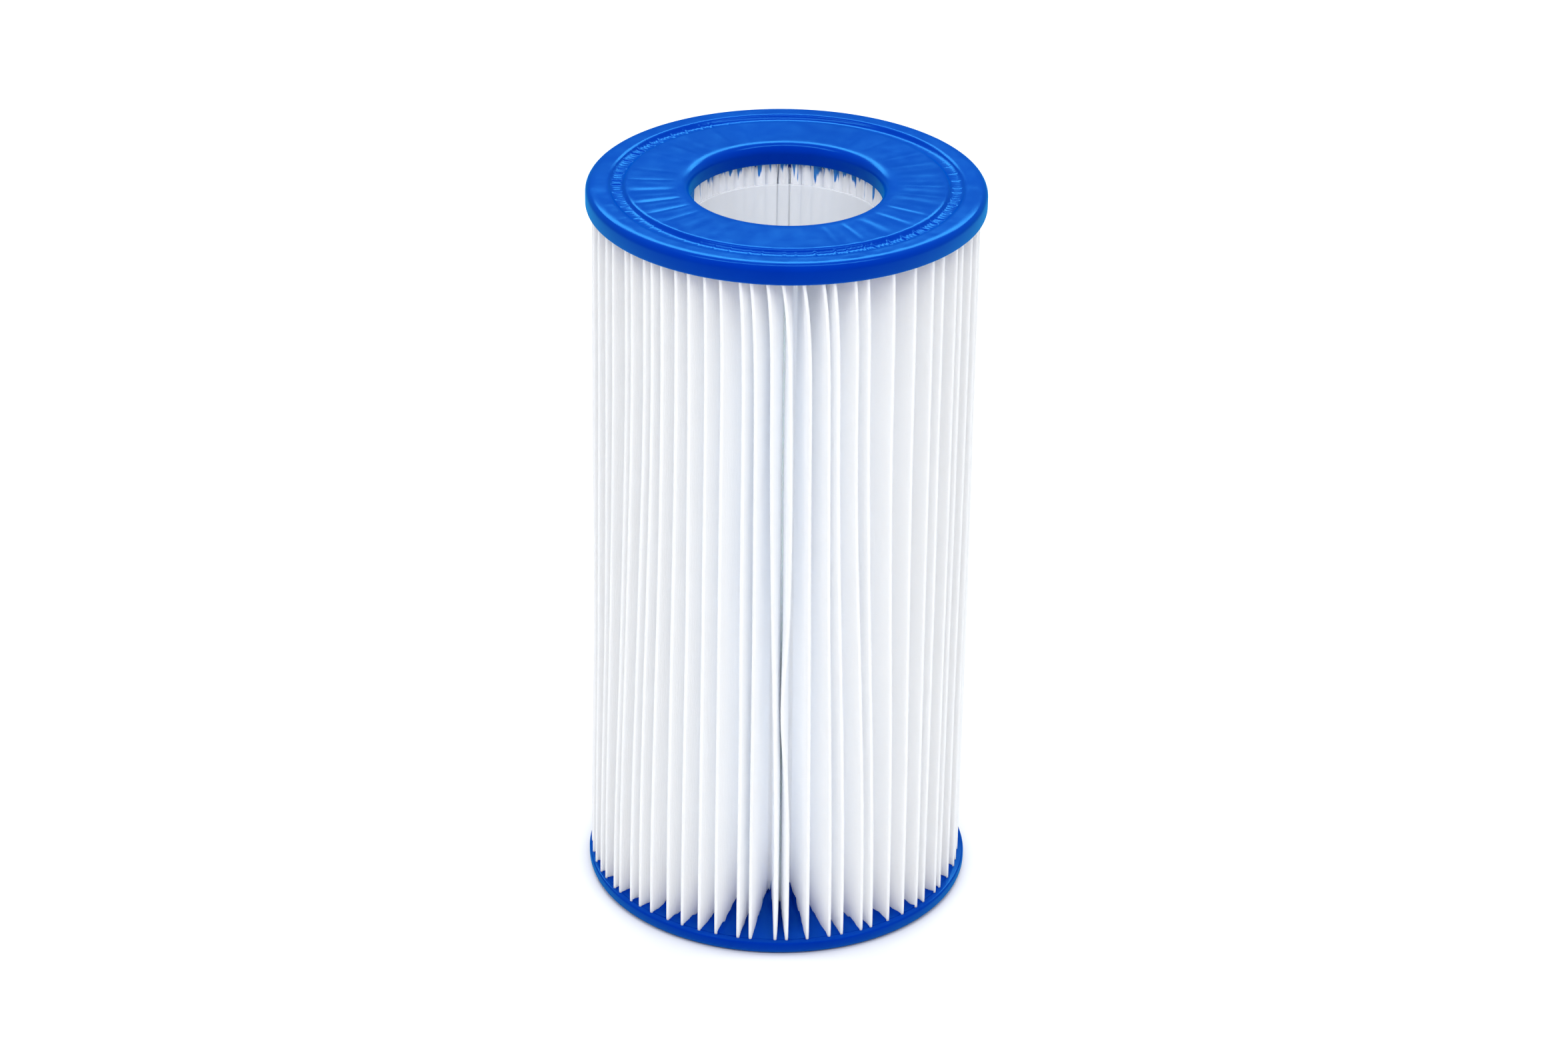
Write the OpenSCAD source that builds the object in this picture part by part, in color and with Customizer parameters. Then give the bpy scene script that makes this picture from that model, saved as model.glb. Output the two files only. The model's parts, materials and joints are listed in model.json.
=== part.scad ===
// Pleated filter cartridge for a small pool pump.
// Two moulded soft-plastic end caps hold a folded polyester pack round an open
// sleeve. Millimetres, +Z along the bore, origin at the centre of the bottom face.
// Angles round the axis start at the front (-Y) and grow towards +X.

/* [Overall] */
// Height over both end caps
height = 203; // [150:1:260]
// Outside diameter of the end caps
cap_d = 104; // [98:0.5:114]
// Diameter of the bore through both end caps
bore_d = 50; // [44:0.5:54]

/* [End caps] */
// Thickness of the top end cap
top_thick = 5.5; // [4.8:0.1:8]
// Thickness of the bottom end cap
bottom_thick = 3.8; // [3.6:0.1:8]
// Radius of the rounded outer rim
rim_r = 2; // [1:0.1:2.4]
// Radius of the rounded lip round the bore
lip_r = 2.6; // [1:0.1:3]
// Radius of the small inner edge of the rim
edge_r = 0.6; // [0.2:0.1:1]
// Distance from the outside wall to the groove in the outer face
groove_inset = 5.8; // [4:0.1:8]
// Width of the groove at the face
groove_w = 4.6; // [3:0.1:6]
// Depth of the groove
groove_depth = 1; // [0.4:0.1:1]
// How far each groove wall slopes inwards
groove_slope = 1.1; // [0.4:0.1:1.2]

/* [Pleated pack] */
// Thickness of the filter sheet
sheet_t = 0.6; // [0.4:0.05:0.8]
// Centreline radius of every fold
fold_r = 0.5; // [0.45:0.05:0.55]
// How far the fold tips stay inside the cap's outside wall
pack_setback = 1.4; // [1:0.1:3]
// Plastic left between the pack's ends and the outer faces
cover_t = 1.3; // [1.2:0.1:2]
// Width of the glued joint where the sheet's two ends meet
seam_w = 8; // [5:0.5:12]
// How far the glue stops short of the joint's edges
glue_inset = 0.4; // [0.2:0.1:1]

/* [Core sleeve] */
// Wall thickness of the sleeve
core_wall = 0.8; // [0.6:0.1:1.2]
// Plastic between the sleeve and the bore wall
core_setback = 0.6; // [0.5:0.1:1]
// How deep the sleeve is set into the bottom cap
core_bury = 1.8; // [1:0.1:1.8]
// Distance from the top face down to the sleeve's open top edge
core_drop = 11.5; // [8:0.5:20]
// Plain band left at each end of the sleeve
core_band = 18; // [16:1:24]
// Windows in each ring
window_count = 12; // [8:1:16]
// Rings of windows
window_rows = 8; // [4:1:10]
// Width of one window
window_w = 8; // [5:0.5:8]
// Height of the rib between two rings
rib_h = 4; // [2:0.5:6]

/* [Hidden] */
$fn = 96;
ARC_STEPS = 6;
FOLD_STEPS = 3;
EPS = 0.02;

// Angular gaps between neighbouring fold tips, in degrees. The folds are crowded
// by hand, so they follow an uneven rhythm. Each list covers a sixth of the pack.
RHYTHM = [3.5, 6.5, 7, 4, 6.5, 3.5, 6.5, 6, 6, 4, 6.5];
LAST_SIXTH = [3, 6, 4, 5, 6.5, 5.5, 6, 5.5, 7, 4, 7.5];
GAPS = [for (sixth = [1:5]) each RHYTHM, each LAST_SIXTH];
FOLDS = len(GAPS);

cap_r = cap_d / 2;
bore_r = bore_d / 2;
core_r_in = bore_r + core_setback;
core_r_out = core_r_in + core_wall;
core_z = [bottom_thick - core_bury, height - core_drop];
pack_r_out = cap_r - pack_setback;
pack_r_in = core_r_out + 0.1;
pack_z = [cover_t, height - cover_t];
tip_r = pack_r_out - sheet_t / 2 - fold_r;
valley_r = pack_r_in + sheet_t / 2 + fold_r;
seam_r = pack_r_in + seam_w;
seam_a = GAPS[0] / 2;
glue_t = 2 * fold_r - sheet_t;
window_h = (core_z[1] - bottom_thick - 2 * core_band + rib_h) / window_rows - rib_h;

// ---- helpers ----

function total(list, count, i = 0) = i >= count ? 0 : list[i] + total(list, count, i + 1);
function backwards(list) = [for (i = [len(list) - 1:-1:0]) list[i]];
function dir(a) = [cos(a), sin(a)];
function spot(r, a) = r * [sin(a), -cos(a)];
// Points along an arc about c, from angle a1 to a2
function arc(c, r, a1, a2) =
    [for (i = [0:ARC_STEPS]) c + r * dir(a1 + (a2 - a1) * i / ARC_STEPS)];

// ---- end caps ----

// Half section of a cap, its outer face at z = 0 and its inner face at z = -thick
module cap_section(thick) {
    groove_out = cap_r - groove_inset;
    groove_in = groove_out - groove_w;
    polygon(concat(
        [[bore_r, -thick]],
        arc([bore_r + lip_r, -lip_r], lip_r, 180, 90),
        [
            [groove_in, 0],
            [groove_in + groove_slope, -groove_depth],
            [groove_out - groove_slope, -groove_depth],
            [groove_out, 0]
        ],
        arc([cap_r - rim_r, -rim_r], rim_r, 90, 0),
        arc([cap_r - edge_r, edge_r - thick], edge_r, 0, -90)
    ));
}

// A cap cast round the ends of the pack, the glued joint and the sleeve
module cast_cap(z, thick, outer_face_up) {
    difference() {
        translate([0, 0, z])
            mirror([0, 0, outer_face_up ? 0 : 1])
                rotate_extrude() cap_section(thick);
        pack_solid();
        seam_solid(glue_t + 2 * EPS);
        sleeve_solid();
    }
}

module top_end_cap() {
    color([0.0, 0.31, 0.85]) cast_cap(height, top_thick, true);
}

module bottom_end_cap() {
    color([0.0, 0.27, 0.78]) cast_cap(0, bottom_thick, false);
}

// ---- pleated pack ----

// Fold tip k counts from 1 at the first tip past the glued joint. Tips and inner
// folds alternate; the inner folds are evenly spaced.
function tip_a(k) = total(GAPS, k);
function valley_a(k) = seam_a + k * 360 / FOLDS;
function inner_r(k) = k % FOLDS == 0 ? seam_r : valley_r;

// A straight leg of the sheet touches the tip circle and the inner circle on
// opposite sides. turn is the angle between them, r the inner circle's distance.
function leg_lean(turn, r) = atan(r * sin(turn) / (tip_r - r * cos(turn)));
function leg_span(turn, r) = sqrt(tip_r^2 + r^2 - 2 * tip_r * r * cos(turn));
function leg_swing(turn, r) = acos(2 * fold_r / leg_span(turn, r));

// Directions from tip k's centre to where its two legs leave it
function leg_before(k) =
    let (turn = valley_a(k - 1) - tip_a(k), r = inner_r(k - 1))
    tip_a(k) + 90 - leg_lean(turn, r) + leg_swing(turn, r);
function leg_after(k) =
    let (turn = valley_a(k) - tip_a(k), r = inner_r(k))
    tip_a(k) + 90 - leg_lean(turn, r) - leg_swing(turn, r);

// Stations along a fold: a point on the sheet's middle and the direction of the
// sheet's outer side there, which is away from c at a tip and towards c inside
function fold(c, a1, a2, facing) =
    [for (i = [0:FOLD_STEPS]) let (a = a1 + (a2 - a1) * i / FOLD_STEPS)
        [c + fold_r * dir(a), a + facing]];
function tip_fold(k) = fold(spot(tip_r, tip_a(k)), leg_before(k), leg_after(k) + 360, 0);
function inner_fold(k) =
    fold(spot(valley_r, valley_a(k)), leg_after(k) + 180, leg_before(k + 1) - 180, 180);

// The sheet's two ends lie side by side at the glued joint, parallel to its radius
// on the side that a points to, and bend a little at its outer edge
function glued_end(a) =
    [for (r = [pack_r_in, seam_r]) [spot(r, seam_a) + fold_r * dir(a), a + 180]];

// The whole sheet, from one glued end round the pack to the other
function sheet_stations() = concat(
    glued_end(seam_a),
    [for (k = [1:FOLDS]) each concat(tip_fold(k), k < FOLDS ? inner_fold(k) : [])],
    backwards(glued_end(seam_a + 180))
);
function sheet_side(stations, offset) = [for (s = stations) s[0] + offset * dir(s[1])];

module pack_solid() {
    stations = sheet_stations();
    translate([0, 0, pack_z[0]])
        linear_extrude(pack_z[1] - pack_z[0])
            polygon(concat(
                sheet_side(stations, sheet_t / 2),
                backwards(sheet_side(stations, -sheet_t / 2))
            ));
}

module seam_solid(thickness = glue_t) {
    rotate([0, 0, seam_a])
        translate([-thickness / 2, glue_inset - seam_r, pack_z[0]])
            cube([thickness, seam_w - 2 * glue_inset, pack_z[1] - pack_z[0]]);
}

module pleated_media() {
    color([0.94, 0.95, 0.97]) pack_solid();
}

module media_seam() {
    color([0.86, 0.86, 0.80]) seam_solid();
}

// ---- core sleeve ----

module sleeve_solid() {
    length = core_z[1] - core_z[0];
    translate([0, 0, core_z[0]])
        difference() {
            cylinder(r = core_r_out, h = length);
            translate([0, 0, -EPS]) cylinder(r = core_r_in, h = length + 2 * EPS);
        }
}

module window_ring(z) {
    for (i = [0:window_count - 1])
        rotate([0, 0, (i + 0.5) * 360 / window_count])
            translate([-window_w / 2, bore_r / 2, z])
                cube([window_w, bore_r, window_h]);
}

module core_tube() {
    color([0.90, 0.93, 0.96, 0.85])
        difference() {
            sleeve_solid();
            for (row = [0:window_rows - 1])
                window_ring(bottom_thick + core_band + row * (window_h + rib_h));
        }
}

top_end_cap();
bottom_end_cap();
pleated_media();
media_seam();
core_tube();
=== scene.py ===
import json
import math

import bmesh
import bpy
import numpy as np
from mathutils import Matrix, Vector


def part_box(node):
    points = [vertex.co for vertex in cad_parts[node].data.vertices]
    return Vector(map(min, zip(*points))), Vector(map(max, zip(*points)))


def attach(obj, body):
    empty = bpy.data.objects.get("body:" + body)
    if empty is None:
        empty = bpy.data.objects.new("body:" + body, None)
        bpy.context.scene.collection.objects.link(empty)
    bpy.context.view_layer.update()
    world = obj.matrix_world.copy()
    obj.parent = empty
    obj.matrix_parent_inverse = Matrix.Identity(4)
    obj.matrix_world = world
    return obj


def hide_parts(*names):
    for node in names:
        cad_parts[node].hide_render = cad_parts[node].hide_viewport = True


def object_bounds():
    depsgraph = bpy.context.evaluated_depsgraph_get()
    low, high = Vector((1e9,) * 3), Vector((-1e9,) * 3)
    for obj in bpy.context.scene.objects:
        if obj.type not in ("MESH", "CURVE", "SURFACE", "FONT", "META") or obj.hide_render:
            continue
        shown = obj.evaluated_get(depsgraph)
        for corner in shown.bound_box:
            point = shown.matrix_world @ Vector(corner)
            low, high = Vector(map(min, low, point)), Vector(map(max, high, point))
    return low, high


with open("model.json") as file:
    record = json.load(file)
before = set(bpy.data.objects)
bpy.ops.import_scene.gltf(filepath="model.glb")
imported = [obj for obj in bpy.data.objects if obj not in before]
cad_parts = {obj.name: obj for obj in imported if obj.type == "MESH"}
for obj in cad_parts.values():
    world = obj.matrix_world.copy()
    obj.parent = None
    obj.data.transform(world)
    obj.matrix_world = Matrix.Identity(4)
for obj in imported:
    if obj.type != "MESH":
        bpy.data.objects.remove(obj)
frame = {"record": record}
CAD_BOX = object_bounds()

# Sizes are in millimetres, and add_mesh() turns them into metres. Angles are in
# degrees. Round the axis they start at the front (-Y) and grow towards +X.
MM = 0.001


def box_mm(node):
    low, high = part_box(node)
    return np.array(low) / MM, np.array(high) / MM


def mount(name):
    return next(m for m in frame["record"]["mounts"] if m["name"] == name)


# ---- sizes that come from the frame ----

TOP_LOW, TOP_HIGH = box_mm("top_end_cap")
BOTTOM_LOW, BOTTOM_HIGH = box_mm("bottom_end_cap")
PACK_LOW, PACK_HIGH = box_mm("pleated_media")
SEAM_LOW, SEAM_HIGH = box_mm("media_seam")
CORE_LOW, CORE_HIGH = box_mm("core_tube")
BORE_R = mount("top_bore")["dims"]["r_mm"]
CAP_R = TOP_HIGH[0]
TOP_IN = TOP_LOW[2]
BOTTOM_IN = BOTTOM_HIGH[2]
CORE_R_OUT = CORE_HIGH[0]

# ---- sizes repeated from the part's design ----

CORE_WALL = 0.8
CORE_CLEARANCE = 0.1
SHEET_T = 0.6
PACK_SETBACK = 1.4
SEAM_W = 8
# From the glued joint's middle to the middle of either sheet end
SEAM_HALF = 0.5
GLUE_INSET = 0.4
LIP_R = 2.6
RIM_R = 2
EDGE_R = 0.6
GROOVE_INSET = 5.8
GROOVE_W = 4.6
GROOVE_DEPTH = 1
GROOVE_SLOPE = 1.1
CORE_BAND = 18
WINDOW_W = 8
RIB_H = 4
WINDOWS = 12
WINDOW_ROWS = 8

PACK_R_OUT = CAP_R - PACK_SETBACK
PACK_R_IN = CORE_R_OUT + CORE_CLEARANCE
SEAM_R = PACK_R_IN + SEAM_W
GROOVE_OUT = CAP_R - GROOVE_INSET
GROOVE_IN = GROOVE_OUT - GROOVE_W

# Gaps between neighbouring fold tips. The folds are crowded by hand.
RHYTHM = [3.5, 6.5, 7, 4, 6.5, 3.5, 6.5, 6, 6, 4, 6.5]
LAST_SIXTH = [3, 6, 4, 5, 6.5, 5.5, 6, 5.5, 7, 4, 7.5]
GAPS = RHYTHM * 5 + LAST_SIXTH
FOLDS = len(GAPS)
SEAM_A = GAPS[0] / 2
TIP_A = np.cumsum(GAPS)
VALLEY_A = SEAM_A + np.arange(FOLDS + 1) * 360 / FOLDS

# ---- how the folds of the real sheet stray from straight lines ----

# Bunches of folds that slant one way: centre, half width, slant at the top
BUNCHES = [(-58, 24, 6.4), (28, 17, -5.5), (0, 7, -1.3),
           (95, 24, 3.0), (150, 26, -3.4), (212, 24, 3.6), (255, 18, -2.6)]
# Bunches of fold tips that the top cap has pushed over: the same three values, and
# the push that every tip gets
PUSHED = [(8, 22, -2.6), (120, 30, 1.8), (200, 30, -2.0), (-85, 20, 1.4)]
PUSHED_ALL = -0.3
# The two narrow folds beside the glued joint (the first and the last) also bend on
# their own, towards each other a third of the way up: fold, height, reach, bend
FIN_BENDS = [(-1, 80, 30, -0.2), (0, 74, 20, -1.8),
             (-1, 150, 65, -1.4), (0, 150, 62, 0.7)]
# Tips that lean out over the bottom cap, up to a height: centre, half width, reach
SPREAD = [(-85, 35, 0.9)]
SPREAD_TOP = 90
# The height where the slants are complete, and how far down the top cap's push reaches
SLANT_TOP = 170
PUSH_REACH = 14
# How far tips and inner folds stray, in degrees, and the lengths and shares of the
# waves they stray by
TIP_STRAY = 0.14
VALLEY_STRAY = 0.05
STRAY_LENGTHS = {260: 0.7, 120: 0.35, 60: 0.08}
TIP_SEED = 11
SETBACK_SEED = 23
VALLEY_SEED = 37
BOW_SEED = 41
# How far inside the pack's outline the tips lie, on average
TIP_SETBACK = 0.12
# Centreline radii at a cap and far from it
TIP_ROUND = [0.22, 0.28]
VALLEY_ROUND = [0.82, 0.92]
ROUND_REACH = 8
# How far the flat sides of the folds bow sideways
FLANK_BOW = 0.30
# The creases at the tips are pressed thinner than the sheet, and it thickens inwards
TIP_T = 0.42

# How far up the sheet liquid cap plastic soaked at the tips and at the inner folds
SOAK_TIP = 0.25
SOAK_INNER = 6.5

# ---- points along the sheet ----

GLUED_POINTS = 3
FLANK_POINTS = 2
TIP_POINTS = 5
VALLEY_POINTS = 5
BLOCK = 2 * FLANK_POINTS + TIP_POINTS + VALLEY_POINTS
LEVELS = 52
# How much closer together the levels are near the caps
LEVEL_CROWDING = 0.45


def smoothstep(x):
    x = np.clip(x, 0, 1)
    return x * x * (3 - 2 * x)


def wrapped(angle):
    return (np.asarray(angle) + 180) % 360 - 180


def bumps(angle, places):
    """The sum of smooth bumps round the axis"""
    return sum(size * np.exp(-(wrapped(angle - centre) / width) ** 2)
               for centre, width, size in places)


def waves(seed, count, z):
    """One smooth seeded value between about -1 and 1 for each of count folds"""
    rng = np.random.default_rng(seed)
    total = np.zeros(count)
    for length, size in STRAY_LENGTHS.items():
        phase = rng.uniform(0, math.tau, count)
        share = rng.uniform(0.5, 1.2, count)
        total += size * share * np.sin(math.tau * z / length + phase)
    return total


def spot(r, angle):
    a = np.radians(angle)
    return np.stack([r * np.sin(a), -r * np.cos(a)], axis=-1)


def heading(radians):
    return np.stack([np.cos(radians), np.sin(radians)], axis=-1)


def near_cap(z, reach):
    """1 inside a cap, falling off over reach between the caps"""
    if not BOTTOM_IN < z < TOP_IN:
        return 1.0
    return np.exp(-min(TOP_IN - z, z - BOTTOM_IN) / reach)


def fold_round(z, sizes):
    """Centreline radius of a fold: tight where a cap pinches it"""
    return sizes[1] + (sizes[0] - sizes[1]) * near_cap(z, ROUND_REACH)


def slant(angle, z):
    return bumps(angle, BUNCHES) * smoothstep(z / SLANT_TOP)


def tip_centres(z, rho):
    """Places of the fold tips' centres at height z"""
    push = (bumps(TIP_A, PUSHED) + PUSHED_ALL) * np.exp(-max(TOP_IN - z, 0) / PUSH_REACH)
    angle = TIP_A + slant(TIP_A, z) + push + TIP_STRAY * waves(TIP_SEED, FOLDS, z)
    for fold, centre, reach, size in FIN_BENDS:
        angle[fold] += size * np.exp(-((z - centre) / reach) ** 2)
    setback = np.clip(TIP_SETBACK + TIP_SETBACK * waves(SETBACK_SEED, FOLDS, z), 0, 1)
    spread = bumps(TIP_A, SPREAD) * (1 - smoothstep(z / SPREAD_TOP))
    return angle, spot(PACK_R_OUT - TIP_T / 2 - rho - setback + spread, angle)


def valley_centres(z, rho):
    """Places of the inner folds' centres. The first and last are the glued joint."""
    stray = VALLEY_STRAY * waves(VALLEY_SEED, FOLDS + 1, z)
    stray[0] = stray[-1] = 0
    angle = VALLEY_A + slant(VALLEY_A, z) + stray
    radius = np.full(FOLDS + 1, PACK_R_IN + SHEET_T / 2 + rho)
    radius[0] = radius[-1] = SEAM_R
    return angle, spot(radius, angle)


def leg_angle(tip, tip_a, inner, reach, side):
    """Direction from a tip's centre to where its leg leaves it. The leg touches the
    tip and the inner fold on opposite sides, and reach is the sum of their radii."""
    across = inner - tip
    inward = np.radians(tip_a) + math.pi / 2
    turn = np.arctan2(across[:, 1], across[:, 0]) - inward
    turn = (turn + math.pi) % math.tau - math.pi
    swing = np.arccos(reach / np.hypot(across[:, 0], across[:, 1]))
    return inward + turn - side * swing


def arcs(centre, radius, first, last, count):
    """Points and directions along one arc round each centre"""
    share = np.linspace(0, 1, count)
    angle = first[:, None] + (last - first)[:, None] * share
    return centre[:, None, :] + radius * heading(angle), angle


def flanks(start, end, angle, bow):
    """Inner points of the straight legs, bowed a little to one side"""
    share = np.linspace(0, 1, FLANK_POINTS + 2)[1:-1]
    line = start[:, None, :] + (end - start)[:, None, :] * share[None, :, None]
    normal = heading(angle)[:, None, :]
    swell = (bow[:, None] * np.sin(math.pi * share))[:, :, None]
    return line + normal * swell, np.repeat(angle[:, None], FLANK_POINTS, axis=1)


def glued_end(centre_angle, side):
    """One end of the sheet, straight along the glued joint"""
    radii = np.linspace(PACK_R_IN, SEAM_R, GLUED_POINTS)
    along = math.radians(centre_angle)
    line = spot(radii, centre_angle) + side * SEAM_HALF * heading(along)
    facing = along + (math.pi if side > 0 else 0)
    return line, np.full(GLUED_POINTS, facing)


def sheet_line(z):
    """The sheet's centreline at height z: its points, and the direction of the
    sheet's outer side at each point, as an angle in radians"""
    tip_rho = fold_round(z, TIP_ROUND)
    valley_rho = fold_round(z, VALLEY_ROUND)
    tip_a, tips = tip_centres(z, tip_rho)
    valley_a, valleys = valley_centres(z, valley_rho)
    inner_rho = np.full(FOLDS + 1, valley_rho)
    inner_rho[0] = inner_rho[-1] = SEAM_HALF
    before = leg_angle(tips, tip_a, valleys[:-1], tip_rho + inner_rho[:-1], -1)
    after = leg_angle(tips, tip_a, valleys[1:], tip_rho + inner_rho[1:], 1)

    tip_points, tip_dirs = arcs(tips, tip_rho, before, after + math.tau, TIP_POINTS)
    first = after[:-1] + math.pi
    last = before[1:] - math.pi
    inner_points, inner_dirs = arcs(valleys[1:-1], valley_rho, first, last, VALLEY_POINTS)
    start_line, start_dirs = glued_end(valley_a[0], 1)
    end_line, end_dirs = glued_end(valley_a[-1], -1)

    from_inner = np.concatenate([start_line[-1:], inner_points[:, -1]])
    to_inner = np.concatenate([inner_points[:, 0], end_line[-1:]])
    bow = FLANK_BOW * waves(BOW_SEED, FOLDS, z)
    in_line, in_dirs = flanks(from_inner, tip_points[:, 0], before, bow)
    out_line, out_dirs = flanks(tip_points[:, -1], to_inner, after, -bow)

    # The last fold has no inner fold after it: it gets a copy, which is cut off again
    pad_points = np.concatenate([inner_points, inner_points[-1:]])
    pad_dirs = np.concatenate([inner_dirs + math.pi, inner_dirs[-1:]])
    line = np.concatenate([in_line, tip_points, out_line, pad_points], axis=1)
    dirs = np.concatenate([in_dirs, tip_dirs, out_dirs, pad_dirs], axis=1)
    line = line.reshape(-1, 2)[:-VALLEY_POINTS]
    dirs = dirs.reshape(-1)[:-VALLEY_POINTS]
    return (np.concatenate([start_line, line, end_line[::-1]]),
            np.concatenate([start_dirs, dirs, end_dirs[::-1]]))


def sheet_thickness():
    """Thickness at each point along the sheet"""
    thicker = np.linspace(TIP_T, SHEET_T, FLANK_POINTS + 2)[1:-1]
    block = np.concatenate([thicker[::-1], np.full(TIP_POINTS, TIP_T),
                            thicker, np.full(VALLEY_POINTS, SHEET_T)])
    glued = np.full(GLUED_POINTS, SHEET_T)
    return np.concatenate([glued, np.tile(block, FOLDS)[:-VALLEY_POINTS], glued])


def sheet_levels():
    """Heights of the sheet's rings, closer together near the caps"""
    t = np.linspace(-1, 1, LEVELS)
    shape = (1 - LEVEL_CROWDING) * t + LEVEL_CROWDING * np.sin(t * math.pi / 2)
    middle = (PACK_LOW[2] + PACK_HIGH[2]) / 2
    return middle + shape * (PACK_HIGH[2] - PACK_LOW[2]) / 2


# ---- meshes ----


def add_mesh(name, points, faces, sharp=50):
    """A smooth-shaded object from points in millimetres"""
    mesh = bpy.data.meshes.new(name)
    mesh.from_pydata((np.asarray(points) * MM).tolist(), [], faces)
    mesh.validate()
    mesh.shade_smooth()
    mesh.set_sharp_from_angle(angle=math.radians(sharp))
    piece = bpy.data.objects.new(name, mesh)
    bpy.context.scene.collection.objects.link(piece)
    return piece


def grid_faces(rows, columns, start=0, closed=False, flip=False):
    """Quads between the points of a grid, listed row by row"""
    i = np.arange(rows - 1)[:, None] * columns
    j = np.arange(columns if closed else columns - 1)[None, :]
    after = (j + 1) % columns
    a, b = i + j, i + after
    quads = np.stack([a, b, b + columns, a + columns], axis=-1).reshape(-1, 4) + start
    return quads[:, ::-1].tolist() if flip else quads.tolist()


def shell_faces(rows, columns):
    """Faces of a closed shell made of two grids of the same size"""
    count = rows * columns
    faces = grid_faces(rows, columns) + grid_faces(rows, columns, count, flip=True)
    rim = ([j for j in range(columns)]
           + [i * columns + columns - 1 for i in range(1, rows)]
           + [(rows - 1) * columns + j for j in range(columns - 2, -1, -1)]
           + [i * columns for i in range(rows - 2, 0, -1)])
    for a, b in zip(rim, rim[1:] + rim[:1]):
        faces.append([b, a, a + count, b + count])
    return faces


def make_media():
    """The pleated sheet, closed, with both its sides"""
    sides = ([], [])
    half = sheet_thickness()[:, None] / 2
    for z in sheet_levels():
        line, dirs = sheet_line(z)
        for side, offset in zip(sides, (half, -half)):
            edge = line + offset * heading(dirs)
            side.append(np.column_stack([edge, np.full(len(edge), z)]))
    points = np.concatenate([np.concatenate(side) for side in sides])
    faces = shell_faces(LEVELS, len(sides[0][0]))
    media = add_mesh("pleated_sheet", points, faces)
    add_soak(media, points)
    return media


def add_soak(media, points):
    """Stores, for each point, its height over the nearer cap's inner face, and how
    far up the liquid plastic soaked there: most at the inner folds, least at the tips"""
    z = points[:, 2]
    rise = np.minimum(TOP_IN - z, z - BOTTOM_IN)
    depth = (PACK_R_OUT - np.hypot(points[:, 0], points[:, 1])) / (PACK_R_OUT - PACK_R_IN)
    reach = SOAK_TIP + (SOAK_INNER - SOAK_TIP) * np.clip(depth, 0, 1) ** 2
    for name, values in (("rise", rise), ("reach", reach)):
        layer = media.data.attributes.new(name, "FLOAT", "POINT")
        layer.data.foreach_set("value", values.astype(np.float32))


# ---- end caps ----

CAP_SEGMENTS = 1440
# The face's edges slope this far down, over this width, before they turn
CROWN_DROP = 0.11
CROWN_WIDTH = 1.4
# Where the face shows ripples over the folds' ends, and where the groove is ticked:
# centre, half width, strength
RIPPLED = [(42, 34, 1.0), (-72, 34, 0.7), (-150, 30, 0.4), (125, 40, 0.35)]
TICKED = [(50, 42, 1.0), (-110, 45, 0.8), (0, 30, 0.25)]
# Heights of the ripples, one over each fold and one over every second, and how far
# the rippled parts of the face sink
RIPPLE = 0.045
BROAD_RIPPLE = 0.08
SINK = 0.10
# A tick is the part of a wave above this level, made this much higher
TICK_LEVEL = 0.80
TICK_GAIN = 1.8
FINE_TICK = 0.04
# How far the groove's edges are softened, and the bevel between bore and inner face
GROOVE_SOFT = 0.45
INNER_BEVEL = 0.25


def arc(r, z, radius, first, last, count):
    angle = np.radians(np.linspace(first, last, count))
    return [(r + radius * math.cos(a), z + radius * math.sin(a)) for a in angle]


def soft_edge(wall, way, radius, crown_points, arc_points):
    """A face's edge: it slopes gently over CROWN_WIDTH, then turns down to the wall.
    way is 1 for an edge facing away from the axis and -1 for one facing it."""
    slope = math.atan(2 * CROWN_DROP / CROWN_WIDTH)
    centre = wall - way * radius
    first = centre + way * radius * math.sin(slope)
    share = np.linspace(0, 1, crown_points + 1)[:-1]
    crown = [(first - way * CROWN_WIDTH * (1 - t), -CROWN_DROP * t * t) for t in share]
    turn = np.linspace(slope, math.pi / 2, arc_points)
    drop = CROWN_DROP + radius * math.cos(slope)
    bend = [(centre + way * radius * math.sin(a), radius * math.cos(a) - drop) for a in turn]
    return crown + bend


def groove_wall(edge, way):
    """One wall of the groove, from the face down to the floor, softened at both ends.
    way is 1 for the wall nearer the axis and -1 for the other."""
    soft = way * GROOVE_SOFT
    floor = edge + way * GROOVE_SLOPE
    return [(edge - soft, 0),
            (edge, -0.06 * GROOVE_DEPTH),
            (edge + soft, -0.36 * GROOVE_DEPTH),
            (floor - soft / 2, -0.84 * GROOVE_DEPTH),
            (floor + soft, -GROOVE_DEPTH)]


def cap_profile(thick):
    """Half section of a cap: the outer face is at 0 and the inner face at -thick"""
    face = [(r, 0) for r in np.linspace(BORE_R + LIP_R + 1.9, GROOVE_IN - 1, 8)]
    groove_middle = [((GROOVE_IN + GROOVE_OUT) / 2, -GROOVE_DEPTH)]
    groove = groove_wall(GROOVE_IN, 1) + groove_middle + groove_wall(GROOVE_OUT, -1)[::-1]
    return np.array(
        [(BORE_R, INNER_BEVEL - thick)]
        + soft_edge(BORE_R, -1, LIP_R, 4, 9)[::-1]
        + face + groove + [(GROOVE_OUT + 0.9, 0)]
        + soft_edge(CAP_R, 1, RIM_R, 4, 8)
        + arc(CAP_R - EDGE_R, EDGE_R - thick, EDGE_R, 0, -90, 4)
        + [(BORE_R + INNER_BEVEL, -thick)]
    )


def fold_phase(angle):
    """Counts the fold tips passed at an angle, so that ripples follow the folds"""
    places = np.concatenate([[0], TIP_A])
    return np.interp(np.asarray(angle) % 360, places, np.arange(FOLDS + 1))


def between(x, first, last, soft):
    """1 between first and last, fading to 0 over soft beyond them"""
    return smoothstep((x - first) / soft + 1) * smoothstep((last - x) / soft + 1)


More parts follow.
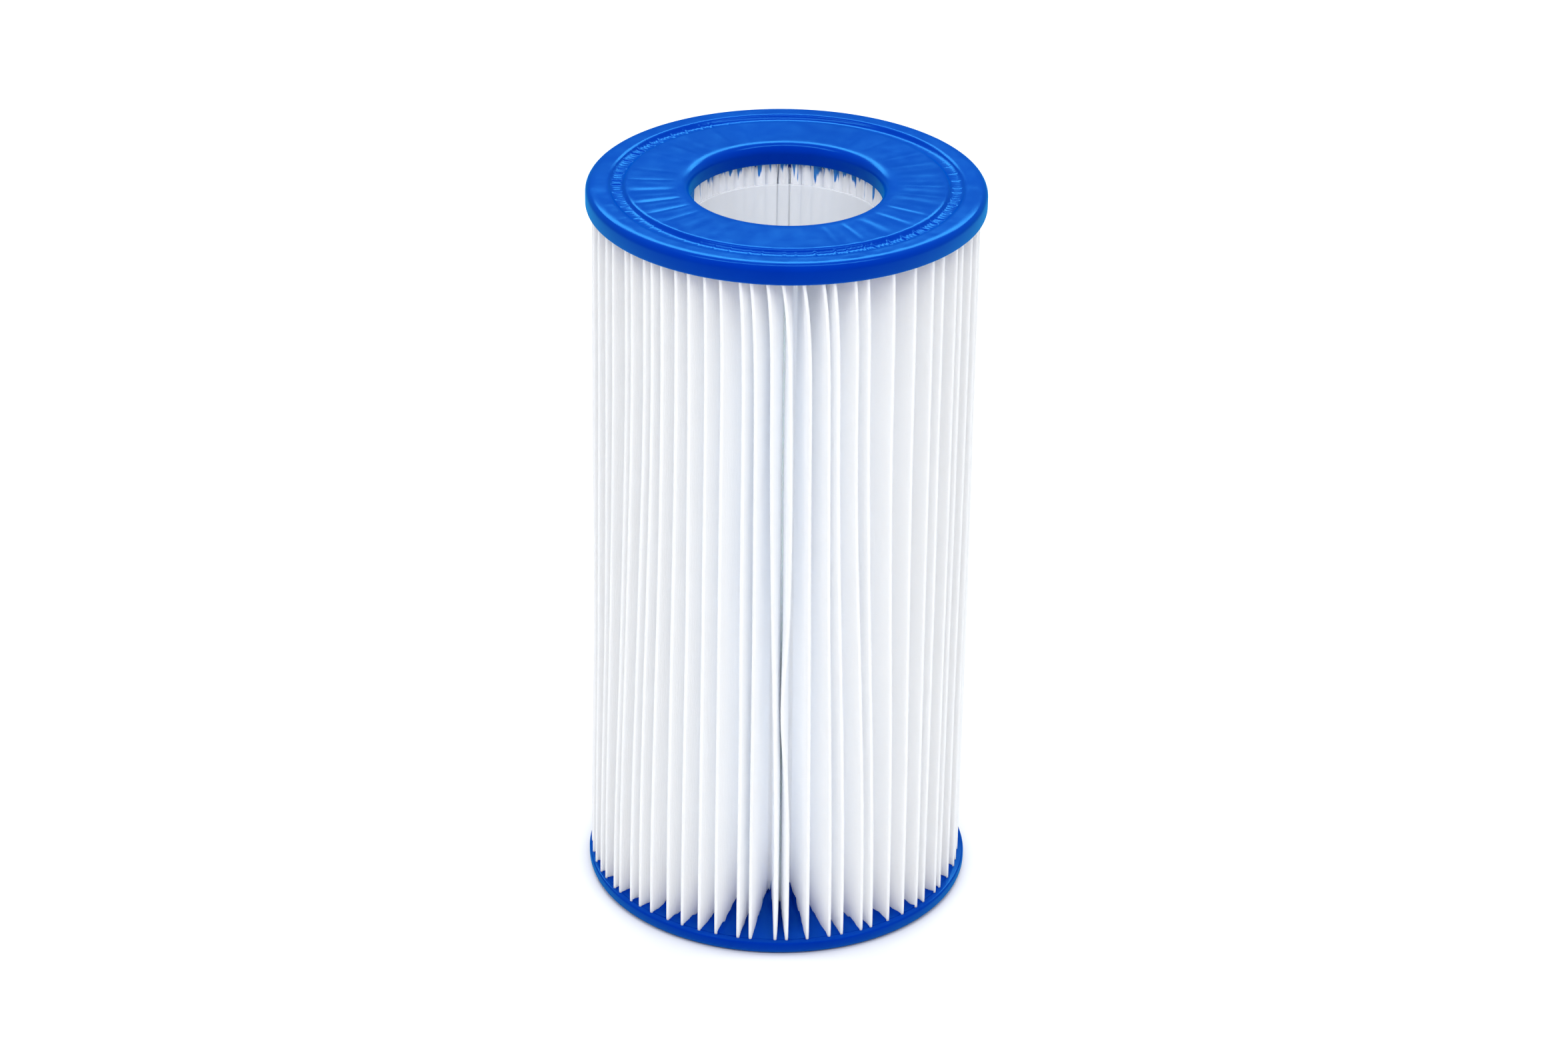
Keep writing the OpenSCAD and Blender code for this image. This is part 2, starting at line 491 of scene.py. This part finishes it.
def noise_ring(seed, angle, lobes):
    """Smooth seeded noise round the axis, between about 0 and 1"""
    rng = np.random.default_rng(seed)
    total = np.zeros(np.shape(angle))
    for n in range(1, lobes + 1):
        total += rng.uniform(0.2, 1) * np.sin(np.radians(n * angle) + rng.uniform(0, math.tau))
    return np.clip(0.5 + total / math.sqrt(lobes) * 0.6, 0, 1)


def face_ripples(r, angle, seed):
    """How far the outer face sinks and swells over the folds' ends, and the height of
    the ticks on the groove's floor"""
    tips = fold_phase(angle) * math.tau
    share = 0.35 + 0.65 * noise_ring(seed, angle, 7)
    broad = share * bumps(angle, RIPPLED)
    ticked = (0.5 + 0.5 * noise_ring(seed + 1, angle, 23)) * bumps(angle, TICKED)
    ring = between(r, BORE_R + 6.5, GROOVE_IN - 2.5, 3)
    outer = between(r, GROOVE_OUT + 1.2, CAP_R - RIM_R - 1.2, 0.8)
    floor = between(r, GROOVE_IN + GROOVE_SLOPE, GROOVE_OUT - GROOVE_SLOPE, 0.6)
    swirl = 0.06 * (r - BORE_R) + 1.5 * noise_ring(seed + 2, angle, 5)
    ripple = RIPPLE * np.cos(tips + swirl) + BROAD_RIPPLE * np.cos(0.5 * tips - swirl)
    tick = np.clip(np.cos(tips + 0.4), TICK_LEVEL, 1) - TICK_LEVEL
    return ((ring + 0.5 * outer) * (broad * ripple - SINK * broad)
            + floor * ticked * (TICK_GAIN * tick + FINE_TICK * np.cos(4 * tips)))


def make_cap(name, outer_z, thick, up, seed):
    """A moulded cap, turned round the axis, with faint sink marks in its face. up is 1
    where its outer face looks up and -1 where it looks down."""
    profile = cap_profile(thick)
    angle = np.arange(CAP_SEGMENTS) * 360 / CAP_SEGMENTS
    rings = []
    for r, z in profile:
        rise = face_ripples(r, angle, seed) if z > -GROOVE_DEPTH - 0.1 else 0
        height = outer_z + up * (z + np.minimum(rise, -z) + np.zeros(CAP_SEGMENTS))
        rings.append(np.column_stack([spot(r, angle), height]))
    faces = grid_faces(len(rings) + 1, CAP_SEGMENTS, closed=True, flip=up > 0)
    count = len(rings) * CAP_SEGMENTS
    faces = [[i % count for i in face] for face in faces]
    return add_mesh(name, np.concatenate(rings), faces, sharp=40)


# ---- the plastic that crept up the folds while it was still liquid ----

CREEP_ROWS = 14
CREEP_COLUMNS = 7
CREEP_TALLEST = 5
CREEP_LOWEST = 0.08
CREEP_ROOT = 0.6
# How unevenly it rises, as shares of its height: everywhere, and more at the walls
RAGGED = (0.65, 1.35)
WALL_RAGGED = (0.4, 1.6)


def resample(line, count):
    """Evenly spaced points along a line, stopping a little short of its end"""
    steps = np.hypot(*np.diff(line, axis=0).T)
    along = np.concatenate([[0], np.cumsum(steps)])
    wanted = np.linspace(0, 0.97 * along[-1], count)
    return np.column_stack([np.interp(wanted, along, line[:, i]) for i in (0, 1)])


def gap_indices(k, outside):
    """Points of the sheet round gap k: outside, between two tips, or inside a fold.
    Returns the two walls' point numbers, each from the mouth to the deepest point."""
    block = GLUED_POINTS + k * BLOCK
    tip = block + FLANK_POINTS
    middle = TIP_POINTS // 2
    inner = tip + TIP_POINTS + FLANK_POINTS
    if not outside:
        mouth = 0 if k == 0 else block - 1
        deepest = tip + middle
        far = inner + GLUED_POINTS - 1 if k == FOLDS - 1 else inner
        return list(range(mouth, deepest + 1)), list(range(far, deepest - 1, -1))
    first = tip + TIP_POINTS - 1
    if k == FOLDS - 1:
        return (list(range(first, inner + 1)),
                list(range(GLUED_POINTS + FLANK_POINTS, GLUED_POINTS - 2, -1)))
    deepest = inner + VALLEY_POINTS // 2
    last = GLUED_POINTS + (k + 1) * BLOCK + FLANK_POINTS
    return list(range(first, deepest + 1)), list(range(last, deepest - 1, -1))


def creep_heights(rng, outside, eager):
    """How far the plastic stands up on a grid from a gap's mouth inwards. It climbs
    the walls; outside it also rises inwards, and inside it stands nearly level."""
    depth = np.linspace(0, 1, CREEP_ROWS)[:, None]
    across = np.abs(np.linspace(-1, 1, CREEP_COLUMNS))[None, :]
    ragged = rng.uniform(*RAGGED, (CREEP_ROWS, CREEP_COLUMNS))
    ragged[:, 0] *= rng.uniform(*WALL_RAGGED, CREEP_ROWS)
    ragged[:, -1] *= rng.uniform(*WALL_RAGGED, CREEP_ROWS)
    if outside:
        middle = 0.1 + 3.2 * depth ** 2
        wall = 0.35 + 2.2 * depth ** 0.7
    else:
        middle = 1.7 + 0.6 * depth
        wall = 0.8 + 0.3 * depth
    height = eager * (middle + wall * across ** 3) * ragged
    return np.clip(height, CREEP_LOWEST, CREEP_TALLEST)


def gap_grid(line, k, outside):
    """Points across gap k at one height, in rows from its mouth inwards"""
    one, other = (resample(line[wall], CREEP_ROWS) for wall in gap_indices(k, outside))
    share = np.linspace(0, 1, CREEP_COLUMNS)[None, :, None]
    return one[:, None] + (other - one)[:, None] * share


def make_creep(name, face_z, up, seed):
    """Low tongues of cap plastic between the folds, each sunk into the cap. They
    stand on the cap's inner face and rise upwards, up = 1, or downwards, up = -1."""
    rng = np.random.default_rng(seed)
    low, _ = sheet_line(face_z)
    high, _ = sheet_line(face_z + up * CREEP_TALLEST)
    shell = [face[::up] for face in shell_faces(CREEP_ROWS, CREEP_COLUMNS)]
    points, faces = [], []
    for k in range(FOLDS):
        for outside in (True, False):
            eager = rng.uniform(0.4, 1.3) if outside else rng.uniform(0.05, 1.15) ** 1.3
            foot = gap_grid(low, k, outside)
            crown = gap_grid(high, k, outside)
            height = creep_heights(rng, outside, eager)
            lift = (height / CREEP_TALLEST)[:, :, None]
            place = (foot * (1 - lift) + crown * lift).reshape(-1, 2)
            top = np.column_stack([place, face_z + up * height.reshape(-1)])
            root = np.column_stack([foot.reshape(-1, 2),
                                    np.full(len(place), face_z - up * CREEP_ROOT)])
            start = sum(map(len, points))
            faces += [[i + start for i in face] for face in shell]
            points += [top, root]
    return add_mesh(name, np.concatenate(points), faces)


# ---- core sleeve and glued joint ----

WINDOW_CORNER = 1.6
# Points along each side of the cell round a window, and the bevel of every edge
CELL_SIDE = 8
CORE_EDGE = 0.2


def rounded_window(width, height, radius, count):
    """A rounded rectangle round the origin, count points for each of its sides"""
    loop = []
    for turn in range(4):
        w, h = (width, height) if turn % 2 == 0 else (height, width)
        straight = np.linspace(-w / 2 + radius, w / 2 - radius, count - 3)
        side = [(x, -h / 2) for x in straight]
        for a in (22.5, 45, 67.5):
            side.append((w / 2 - radius + radius * math.sin(math.radians(a)),
                         -h / 2 + radius - radius * math.cos(math.radians(a))))
        c, s = round(math.cos(turn * math.pi / 2)), round(math.sin(turn * math.pi / 2))
        loop += [(c * x - s * y, s * x + c * y) for x, y in side]
    return np.array(loop)


def cell_border(width, height, count):
    """A plain rectangle with as many points as the window inside it"""
    loop = []
    for turn in range(4):
        w, h = (width, height) if turn % 2 == 0 else (height, width)
        side = [(x, -h / 2) for x in np.linspace(-w / 2, w / 2, count + 1)[:-1]]
        c, s = round(math.cos(turn * math.pi / 2)), round(math.sin(turn * math.pi / 2))
        loop += [(c * x - s * y, s * x + c * y) for x, y in side]
    return np.array(loop)


def bend(flat, r, depth):
    """Wraps points (along, up) measured at radius r round the axis, at depth inside it"""
    angle = np.degrees(flat[:, 0] / r)
    return np.column_stack([spot(r - depth, angle), flat[:, 1]])


def core_rows():
    """Height of the lowest row of cells, and the height of one row"""
    first = BOTTOM_IN + CORE_BAND
    step = (CORE_HIGH[2] - CORE_BAND - first + RIB_H) / WINDOW_ROWS
    return first - RIB_H / 2, step


def window_cells():
    """The sleeve's middle: a grid of cells with a rounded window in each"""
    points, faces = [], []
    pitch = math.tau * CORE_R_OUT / WINDOWS
    low, step = core_rows()
    hole = rounded_window(WINDOW_W, step - RIB_H, WINDOW_CORNER, CELL_SIDE)
    border = cell_border(pitch, step, CELL_SIDE)
    wide_hole = hole * (1 + 2 * CORE_EDGE / WINDOW_W)
    loops = [(border, 0), (wide_hole, 0), (hole, CORE_EDGE),
             (hole, CORE_WALL - CORE_EDGE), (wide_hole, CORE_WALL), (border, CORE_WALL)]
    for row in range(WINDOW_ROWS):
        for column in range(WINDOWS):
            centre = ((column + 0.5) * pitch, low + (row + 0.5) * step)
            start = sum(map(len, points))
            for loop, depth in loops:
                points.append(bend(loop + centre, CORE_R_OUT, depth))
            faces += grid_faces(len(loops), len(hole), start, closed=True, flip=True)
    return points, faces


def plain_band(edge_z, middle_z, start):
    """The sleeve's plain end, from its edge to the window cells"""
    count = WINDOWS * CELL_SIDE
    angle = np.arange(count) * 360 / count
    way = 1 if middle_z > edge_z else -1
    inner = CORE_R_OUT - CORE_WALL
    section = [(inner, middle_z), (inner, edge_z + way * CORE_EDGE),
               (inner + CORE_EDGE, edge_z), (CORE_R_OUT - CORE_EDGE, edge_z),
               (CORE_R_OUT, edge_z + way * CORE_EDGE), (CORE_R_OUT, middle_z)]
    points = [np.column_stack([spot(r, angle), np.full(count, z)]) for r, z in section]
    return points, grid_faces(len(section), count, start, closed=True, flip=way < 0)


def make_core():
    """The sleeve: a thin moulded tube with rounded windows and soft edges"""
    points, faces = window_cells()
    low, step = core_rows()
    for edge_z, middle_z in ((CORE_LOW[2], low), (CORE_HIGH[2], low + WINDOW_ROWS * step)):
        band_points, band_faces = plain_band(edge_z, middle_z, sum(map(len, points)))
        points += band_points
        faces += band_faces
    piece = add_mesh("core_sleeve", np.concatenate(points), faces, sharp=35)
    weld(piece, 0.02)
    return piece


def weld(piece, distance):
    """Joins points that lie together, in place"""
    mesh = bmesh.new()
    mesh.from_mesh(piece.data)
    bmesh.ops.remove_doubles(mesh, verts=mesh.verts, dist=distance * MM)
    bmesh.ops.recalc_face_normals(mesh, faces=mesh.faces)
    mesh.to_mesh(piece.data)
    mesh.free()


def make_seam():
    """The glue between the sheet's two ends, with a bead along its outer edge"""
    rng = np.random.default_rng(5)
    heights = np.linspace(SEAM_LOW[2], SEAM_HIGH[2], 90)
    half = SEAM_HALF - SHEET_T / 2 + 0.05
    inner, outer = PACK_R_IN + GLUE_INSET, SEAM_R - GLUE_INSET
    bead = np.convolve(rng.uniform(0, 0.5, len(heights)), np.ones(5) / 5, mode="same")
    points = []
    for z, swell in zip(heights, bead):
        angle = SEAM_A + float(slant(np.array([SEAM_A]), z)[0])
        side = heading(math.radians(angle))
        section = [(inner, 0), (inner + 0.15, half), (outer - 0.8, half),
                   (outer + swell, half * 0.9), (outer + 0.25 + swell, 0),
                   (outer + swell, -half * 0.9), (outer - 0.8, -half), (inner + 0.15, -half)]
        for r, across in section:
            points.append([*(spot(r, angle) + across * side), z])
    count = len(section)
    faces = grid_faces(len(heights), count, closed=True, flip=True)
    faces.append(list(range(count)))
    faces.append([len(points) - 1 - i for i in range(count)])
    piece = add_mesh("seam_glue", points, faces)
    weld(piece, 0.001)
    return piece


# ---- materials ----

GLOSS_SHARE = 0.26


def new_material(name):
    material = bpy.data.materials.new(name)
    material.use_nodes = True
    nodes = material.node_tree.nodes
    return material, material.node_tree, nodes["Principled BSDF"]


def set_values(shader, **values):
    for name, value in values.items():
        shader.inputs[name.replace("_", " ")].default_value = value


def noise_node(tree, scale, detail, stretch=(1, 1, 1)):
    """Noise over the object's own metres; stretch scales its three axes"""
    place = tree.nodes.new("ShaderNodeTexCoord")
    mapping = tree.nodes.new("ShaderNodeMapping")
    mapping.inputs["Scale"].default_value = stretch
    tree.links.new(place.outputs["Object"], mapping.inputs["Vector"])
    noise = tree.nodes.new("ShaderNodeTexNoise")
    noise.inputs["Scale"].default_value = scale
    noise.inputs["Detail"].default_value = detail
    tree.links.new(mapping.outputs["Vector"], noise.inputs["Vector"])
    return noise


def ramp_node(tree, source, stops):
    """A colour ramp over a 0..1 value"""
    ramp = tree.nodes.new("ShaderNodeValToRGB")
    elements = ramp.color_ramp.elements
    while len(elements) < len(stops):
        elements.new(0.5)
    for element, (place, colour) in zip(elements, stops):
        element.position = place
        element.color = (*colour, 1)
    tree.links.new(source, ramp.inputs["Fac"])
    return ramp


def range_node(tree, source, low, high):
    """Maps a noise's usual 0.3..0.7 to low..high"""
    node = tree.nodes.new("ShaderNodeMapRange")
    node.inputs["From Min"].default_value = 0.3
    node.inputs["From Max"].default_value = 0.7
    node.inputs["To Min"].default_value = low
    node.inputs["To Max"].default_value = high
    tree.links.new(source, node.inputs["Value"])
    return node


def math_node(tree, operation, first, second):
    """One sum over two values, each a socket or a number"""
    node = tree.nodes.new("ShaderNodeMath")
    node.operation = operation
    for socket, value in zip(node.inputs, (first, second)):
        if isinstance(value, (int, float)):
            socket.default_value = value
        else:
            tree.links.new(value, socket)
    return node.outputs["Value"]


def attribute_node(tree, name):
    node = tree.nodes.new("ShaderNodeAttribute")
    node.attribute_name = name
    return node.outputs["Fac"]


def bump_node(tree, shader, source, distance, strength=1.0, below=None):
    """Adds a bump of a height in metres to a shader, on top of an earlier one"""
    bump = tree.nodes.new("ShaderNodeBump")
    bump.inputs["Strength"].default_value = strength
    bump.inputs["Distance"].default_value = distance
    tree.links.new(source, bump.inputs["Height"])
    if below is not None:
        tree.links.new(below.outputs["Normal"], bump.inputs["Normal"])
    tree.links.new(bump.outputs["Normal"], shader.inputs["Normal"])
    return bump


def cap_material():
    """Soft glossy cast plastic: even colour, faint flow marks, a slight orange peel"""
    material, tree, shader = new_material("cast_blue_plastic")
    set_values(shader, Specular_IOR_Level=0.0, Sheen_Weight=0.2, Sheen_Roughness=0.4)
    shader.inputs["Sheen Tint"].default_value = (0.0, 0.55, 1.0, 1)
    flow = noise_node(tree, 60, 3)
    colour = ramp_node(tree, flow.outputs["Fac"],
                       [(0.30, (0.0, 0.022, 0.295)), (0.70, (0.0, 0.027, 0.325))])
    tree.links.new(colour.outputs["Color"], shader.inputs["Base Color"])
    rough = range_node(tree, noise_node(tree, 240, 2).outputs["Fac"], 0.15, 0.22)
    tree.links.new(rough.outputs["Result"], shader.inputs["Roughness"])
    peel = bump_node(tree, shader, noise_node(tree, 110, 2).outputs["Fac"], 0.000012)
    grain = bump_node(tree, shader, noise_node(tree, 2400, 2).outputs["Fac"],
                      0.000002, below=peel)
    add_gloss(tree, shader, rough.outputs["Result"], grain.outputs["Normal"])
    return material


def add_gloss(tree, shader, rough, normal):
    """Mixes in a small share of blue-tinted gloss: the dye colours what it reflects"""
    gloss = tree.nodes.new("ShaderNodeBsdfGlossy")
    gloss.inputs["Color"].default_value = (0.08, 0.58, 1.0, 1)
    tree.links.new(rough, gloss.inputs["Roughness"])
    tree.links.new(normal, gloss.inputs["Normal"])
    mix = tree.nodes.new("ShaderNodeMixShader")
    slant = tree.nodes.new("ShaderNodeLayerWeight")
    slant.inputs["Blend"].default_value = 0.5
    tree.links.new(normal, slant.inputs["Normal"])
    curve = math_node(tree, "POWER", slant.outputs["Facing"], 1.5)
    share = math_node(tree, "MULTIPLY", curve, GLOSS_SHARE)
    tree.links.new(share, mix.inputs["Fac"])
    tree.links.new(shader.outputs["BSDF"], mix.inputs[1])
    tree.links.new(gloss.outputs["BSDF"], mix.inputs[2])
    tree.links.new(mix.outputs["Shader"], tree.nodes["Material Output"].inputs["Surface"])


def soak_node(tree, white):
    """Turns the fabric blue where plastic soaked into it, with a ragged upper edge"""
    tongues = noise_node(tree, 620, 2, stretch=(1, 1, 0.12))
    ragged = range_node(tree, tongues.outputs["Fac"], 0.0, 1.0)
    steep = math_node(tree, "POWER", ragged.outputs["Result"], 2.2)
    top = math_node(tree, "MULTIPLY", attribute_node(tree, "reach"), steep)
    inside = math_node(tree, "SUBTRACT", top, attribute_node(tree, "rise"))
    share = math_node(tree, "MULTIPLY", inside, 0.7)
    mix = tree.nodes.new("ShaderNodeMix")
    mix.data_type = "RGBA"
    mix.clamp_factor = True
    # A Mix node has sockets for each data type: these three are the colour ones
    factor, first, second = mix.inputs[0], mix.inputs[6], mix.inputs[7]
    tree.links.new(share, factor)
    tree.links.new(white, first)
    second.default_value = (0.03, 0.20, 0.55, 1)
    return mix.outputs[2]


def media_material():
    """Spun-bonded polyester: white, fibres mostly along the folds, a soft sheen"""
    material, tree, shader = new_material("spun_polyester")
    set_values(shader, Roughness=0.82, Sheen_Weight=0.12, Sheen_Roughness=0.5,
               Specular_IOR_Level=0.2, Subsurface_Weight=1.0, Subsurface_Scale=0.0015)
    shader.inputs["Subsurface Radius"].default_value = (0.9, 0.95, 1.0)
    cloud = noise_node(tree, 160, 5, stretch=(1, 1, 0.25))
    colour = ramp_node(tree, cloud.outputs["Fac"],
                       [(0.30, (0.970, 0.975, 0.983)), (0.72, (0.982, 0.986, 0.992))])
    soaked = soak_node(tree, colour.outputs["Color"])
    tree.links.new(soaked, shader.inputs["Base Color"])
    fibres = noise_node(tree, 2600, 4, stretch=(1, 1, 0.10))
    mat = bump_node(tree, shader, fibres.outputs["Fac"], 0.00006)
    quilt = noise_node(tree, 700, 3, stretch=(1, 1, 0.5))
    bump_node(tree, shader, quilt.outputs["Fac"], 0.00010, below=mat)
    return material


def core_material():
    """Thin natural polypropylene: milky, with faint draw marks along the tube"""
    material, tree, shader = new_material("milky_polypropylene")
    set_values(shader, IOR=1.4, Specular_IOR_Level=0.3, Alpha=0.32)
    marks = noise_node(tree, 220, 3, stretch=(1, 1, 0.12))
    colour = ramp_node(tree, marks.outputs["Fac"],
                       [(0.3, (0.965, 0.975, 0.985)), (0.7, (0.985, 0.99, 0.995))])
    tree.links.new(colour.outputs["Color"], shader.inputs["Base Color"])
    rough = range_node(tree, marks.outputs["Fac"], 0.28, 0.40)
    tree.links.new(rough.outputs["Result"], shader.inputs["Roughness"])
    bump_node(tree, shader, marks.outputs["Fac"], 0.00005)
    return material


def glue_material():
    """Cured hot-melt glue: cloudy, with small bubbles"""
    material, tree, shader = new_material("cloudy_glue")
    set_values(shader, Roughness=0.42, Subsurface_Weight=0.3, Subsurface_Scale=0.002)
    cells = noise_node(tree, 900, 3)
    colour = ramp_node(tree, cells.outputs["Fac"],
                       [(0.3, (0.89, 0.89, 0.86)), (0.7, (0.95, 0.95, 0.93))])
    tree.links.new(colour.outputs["Color"], shader.inputs["Base Color"])
    bump_node(tree, shader, cells.outputs["Fac"], 0.0002)
    return material


def floor_material():
    """A plain pale floor, very slightly uneven in its gloss"""
    material, tree, shader = new_material("pale_floor")
    set_values(shader, Specular_IOR_Level=0.1)
    mottle = noise_node(tree, 6, 3)
    colour = ramp_node(tree, mottle.outputs["Fac"],
                       [(0.3, (0.835, 0.837, 0.840)), (0.7, (0.845, 0.847, 0.850))])
    tree.links.new(colour.outputs["Color"], shader.inputs["Base Color"])
    rough = range_node(tree, mottle.outputs["Fac"], 0.7, 0.8)
    tree.links.new(rough.outputs["Result"], shader.inputs["Roughness"])
    return material


# ---- stage ----

COOL_WHITE = (0.94, 0.965, 1.0)
VIEW_DISTANCE = 1.1887
VIEW_ELEVATION = 27.74
VIEW_ROLL = 0.90
VIEW_LENS = 101.65
FRAME_SHIFT = (0.0017, 0.0056)
FLOOR_GAP = 0.02
FLOOR_HALF = 4000
FLOOR_POINTS = 24
WORLD_STRENGTH = 0.49
# Softboxes: name, azimuth, elevation, distance, size, power, and whether they are seen
# in the gloss. Distances and sizes are in metres. The key reaches down into the bore.
LAMPS = [
    ("overhead", 180, 88, 1.5, (1.4, 0.14), 14, True),
    ("strip", 180, 40, 1.5, (1.6, 0.36), 11.5, True),
    ("key", 0, 50, 1.6, (2.2, 0.7), 19, False),
    ("front", 0, 14, 1.6, (1.0, 0.7), 1.2, False),
]


def look_from(distance, azimuth, elevation, aim):
    """A place at an angle round the aim. Azimuth 0 is the front."""
    a, e = math.radians(azimuth), math.radians(elevation)
    way = Vector((math.sin(a) * math.cos(e), -math.cos(a) * math.cos(e), math.sin(e)))
    return aim + way * distance, (-way).to_track_quat("-Z", "Y")


def add_camera(aim):
    data = bpy.data.cameras.new("view")
    data.lens = VIEW_LENS
    data.shift_x, data.shift_y = FRAME_SHIFT
    camera = bpy.data.objects.new("view", data)
    place, turn = look_from(VIEW_DISTANCE, 0, VIEW_ELEVATION, aim)
    roll = Matrix.Rotation(math.radians(VIEW_ROLL), 4, "Z")
    camera.matrix_world = Matrix.LocRotScale(place, turn, None) @ roll
    bpy.context.scene.collection.objects.link(camera)
    bpy.context.scene.camera = camera


def add_softbox(name, azimuth, elevation, distance, size, power, aim):
    data = bpy.data.lights.new(name, "AREA")
    data.shape = "RECTANGLE"
    data.size, data.size_y = size
    data.energy = power
    data.color = COOL_WHITE
    lamp = bpy.data.objects.new(name, data)
    lamp.visible_camera = False
    place, turn = look_from(distance, azimuth, elevation, aim)
    lamp.matrix_world = Matrix.LocRotScale(place, turn, None)
    bpy.context.scene.collection.objects.link(lamp)
    return lamp


def add_floor():
    """A wide floor, a hair under the cap so that their faces don't coincide"""
    across = np.linspace(-FLOOR_HALF, FLOOR_HALF, FLOOR_POINTS)
    x, y = np.meshgrid(across, across)
    level = CAD_BOX[0][2] / MM - FLOOR_GAP
    points = np.column_stack([x.ravel(), y.ravel(), np.full(x.size, level)])
    floor = add_mesh("floor", points, grid_faces(FLOOR_POINTS, FLOOR_POINTS))
    floor.data.materials.append(floor_material())


def light_studio(aim):
    world = bpy.data.worlds.new("studio")
    world.use_nodes = True
    background = world.node_tree.nodes["Background"]
    background.inputs["Color"].default_value = (*COOL_WHITE, 1)
    background.inputs["Strength"].default_value = WORLD_STRENGTH
    bpy.context.scene.world = world
    for name, azimuth, elevation, distance, size, power, in_gloss in LAMPS:
        lamp = add_softbox(name, azimuth, elevation, distance, size, power, aim)
        lamp.visible_glossy = in_gloss
    scene = bpy.context.scene
    scene.view_settings.view_transform = "Standard"
    # Light bounces many times between white folds before it dies away
    scene.cycles.diffuse_bounces = 64
    scene.cycles.max_bounces = 80


def fit(piece, material, node=None):
    """Gives a piece its material and ties it to the frame"""
    piece.data.materials.clear()
    piece.data.materials.append(material)
    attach(piece, "root")
    if node is not None:
        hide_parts(node)


def build():
    aim = (CAD_BOX[0] + CAD_BOX[1]) / 2
    add_camera(aim)
    light_studio(aim)
    add_floor()
    blue = cap_material()
    top = make_cap("top_cap", TOP_HIGH[2], TOP_HIGH[2] - TOP_IN, 1, 3)
    bottom = make_cap("bottom_cap", BOTTOM_LOW[2], BOTTOM_IN - BOTTOM_LOW[2], -1, 9)
    fit(top, blue, "top_end_cap")
    fit(bottom, blue, "bottom_end_cap")
    fit(make_creep("top_cap_creep", TOP_IN, -1, 17), blue)
    fit(make_creep("bottom_cap_creep", BOTTOM_IN, 1, 19), blue)
    media = make_media()
    fit(media, media_material(), "pleated_media")
    fit(make_seam(), glue_material(), "media_seam")
    fit(make_core(), core_material(), "core_tube")


build()
